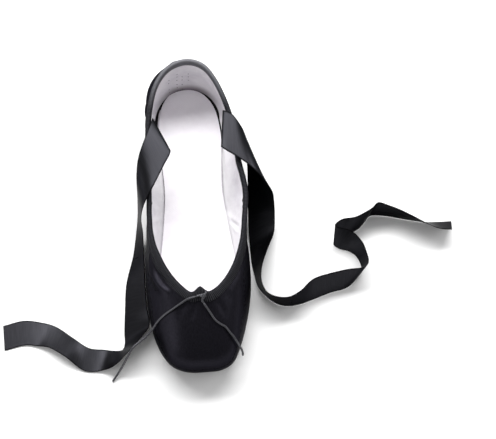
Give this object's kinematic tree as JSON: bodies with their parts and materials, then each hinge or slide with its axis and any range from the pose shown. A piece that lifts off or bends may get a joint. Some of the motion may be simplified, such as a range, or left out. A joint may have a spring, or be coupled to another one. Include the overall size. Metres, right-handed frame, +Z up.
{
  "type": "pointe shoe",
  "caption": "Black satin pointe shoe for ballet, standing empty, with a ribbed topline binding, a knotted drawstring and two long ribbons sewn inside the collar.",
  "frame": {"origin": "on the floor under the middle of the shoe's length and width, measured without the ribbons and the drawstring", "axes": "+X to the wearer's right, +Y towards the heel, so the toe points along -Y, and +Z up"},
  "size_m": [0.341, 0.2383, 0.0552],
  "materials": {
    "sole_leather": "matt tan split leather with a skived edge",
    "insole_board": "board covered in white cotton",
    "satin": "black satin outside, white cotton lining inside",
    "grosgrain": "matt black ribbed tape",
    "cord": "round black braided cord",
    "ribbon_satin": "black satin ribbon with plain selvedges"
  },
  "bodies": {
    "root": {"outsole": "sole_leather", "insole": "insole_board", "upper": "satin", "binding": "grosgrain", "drawstring_knot": "cord", "drawstring_left": "cord", "drawstring_right": "cord", "ribbon_left": "ribbon_satin", "ribbon_right": "ribbon_satin"}
  },
  "joints": []
}
